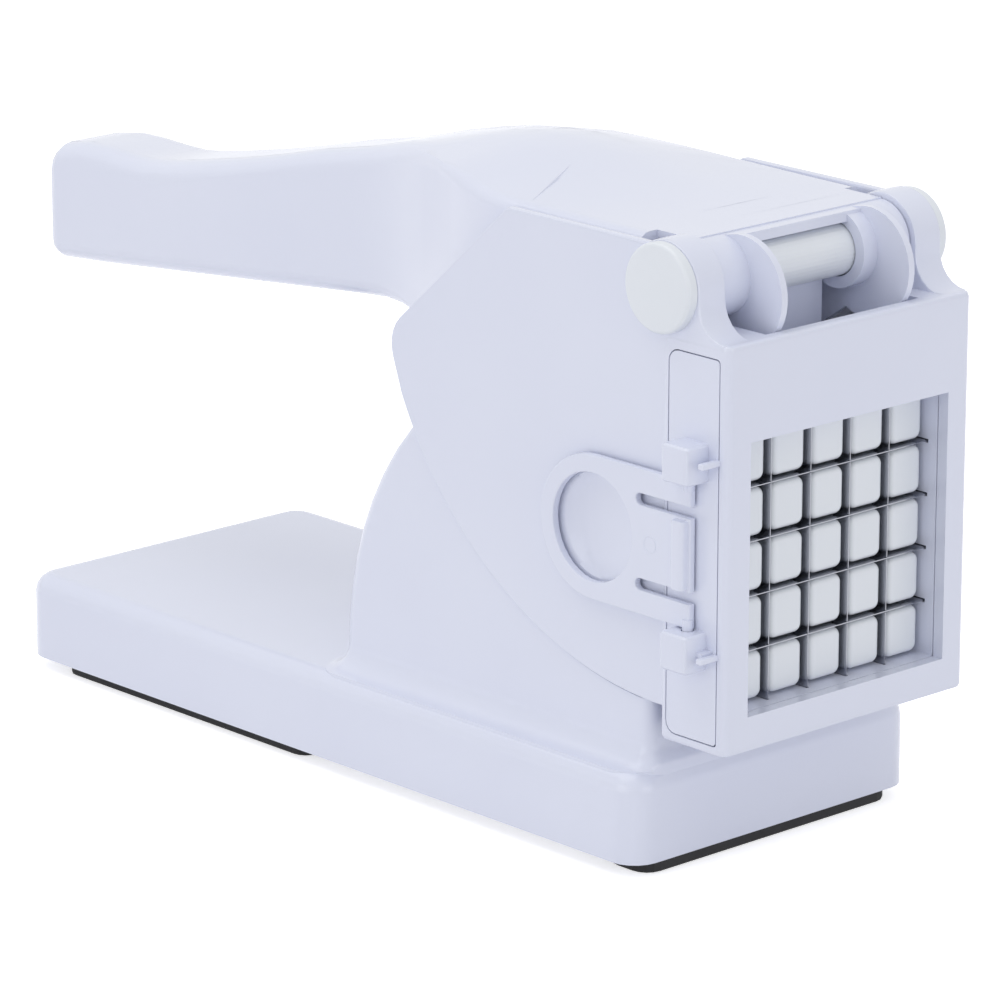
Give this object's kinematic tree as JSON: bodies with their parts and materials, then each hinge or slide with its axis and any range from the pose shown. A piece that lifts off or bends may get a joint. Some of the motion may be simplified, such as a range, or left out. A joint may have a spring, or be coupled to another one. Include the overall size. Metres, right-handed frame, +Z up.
{
  "type": "french fry cutter",
  "caption": "Lever-operated french fry cutter: a hinged handle swings a block of square posts through a slide-in grid of thin blades above a footed base.",
  "frame": {"origin": "centre of the front rubber foot's underside, on the bench and on the middle plane", "axes": "+X forward, out of the blade grid; +Y to the far side, away from the cartridge's pull ring; +Z up"},
  "size_m": [0.2735, 0.0914, 0.1545],
  "materials": {
    "white_abs": "glossy moulded white with a faint blue cast",
    "white_nylon": "satin moulded natural white",
    "stainless": "ground stainless steel",
    "zinc_steel": "bright zinc plate",
    "black_rubber": "matt black"
  },
  "bodies": {
    "base": {"base_plate": "white_abs", "base_screw_1": "zinc_steel", "base_screw_2": "zinc_steel", "base_screw_3": "zinc_steel", "base_screw_4": "zinc_steel", "base_shell": "white_abs", "blade_retainer": "white_nylon", "cartridge_frame": "white_nylon", "chamber_housing": "white_abs", "front_foot": "black_rubber", "horizontal_blade_1": "stainless", "horizontal_blade_2": "stainless", "horizontal_blade_3": "stainless", "horizontal_blade_4": "stainless", "housing_screw_1": "zinc_steel", "housing_screw_2": "zinc_steel", "housing_screw_3": "zinc_steel", "housing_screw_4": "zinc_steel", "left_cap": "white_nylon", "pivot_shaft": "white_nylon", "rear_foot_left": "black_rubber", "rear_foot_right": "black_rubber", "retainer_screw_1": "zinc_steel", "retainer_screw_2": "zinc_steel", "retainer_screw_3": "zinc_steel", "retainer_screw_4": "zinc_steel", "right_cap": "white_nylon", "vertical_blade_1": "stainless", "vertical_blade_2": "stainless", "vertical_blade_3": "stainless", "vertical_blade_4": "stainless"},
    "lever": {"lever_body": "white_abs", "pusher_block": "white_nylon", "pusher_screw_1": "zinc_steel", "pusher_screw_2": "zinc_steel", "pusher_screw_3": "zinc_steel", "pusher_screw_4": "zinc_steel"},
    "ring": {"pull_ring": "white_nylon"}
  },
  "joints": [
    {"name": "lever_hinge", "type": "hinge", "parent": "base", "child": "lever", "pos_m": [0.0097, 0, 0.138], "axis": [0, 1, 0], "range_deg": [0, 60]},
    {"name": "ring_hinge", "type": "hinge", "parent": "base", "child": "ring", "pos_m": [0.02, -0.0408, 0.079], "axis": [0, 0, 1], "range_deg": [0, 90]}
  ]
}
